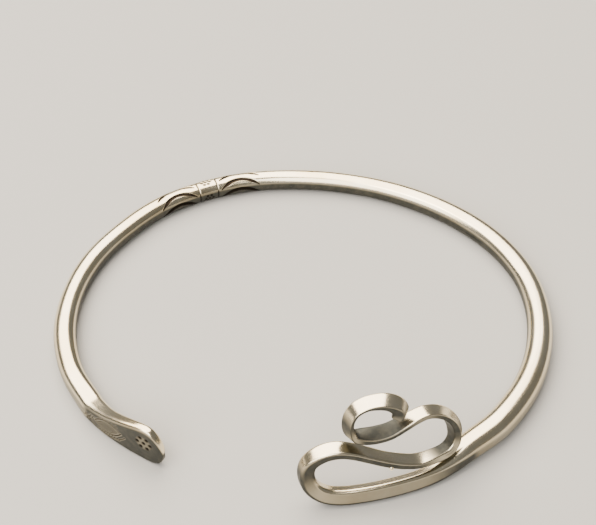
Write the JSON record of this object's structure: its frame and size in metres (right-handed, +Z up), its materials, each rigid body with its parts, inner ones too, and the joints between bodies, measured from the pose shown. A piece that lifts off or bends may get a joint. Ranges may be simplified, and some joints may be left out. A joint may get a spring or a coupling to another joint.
{
  "type": "bangle",
  "caption": "Open oval bangle forged from one rod, with a punched paddle at one end and a standing scroll of drawn-down rod at the other.",
  "frame": {"origin": "on the surface that the bangle lies on, under the middle of its bounding box", "axes": "+Z up, square to the ring, towards the top of the scroll; +X along the long way of the oval, from the paddle's side to the scroll's side; -Y towards the opening between the ends"},
  "size_m": [0.0678, 0.0597, 0.0155],
  "materials": {
    "silver": "burnished sterling silver, lightly scratched, dark in the punched marks"
  },
  "bodies": {
    "root": {"bangle": "silver"}
  },
  "joints": []
}
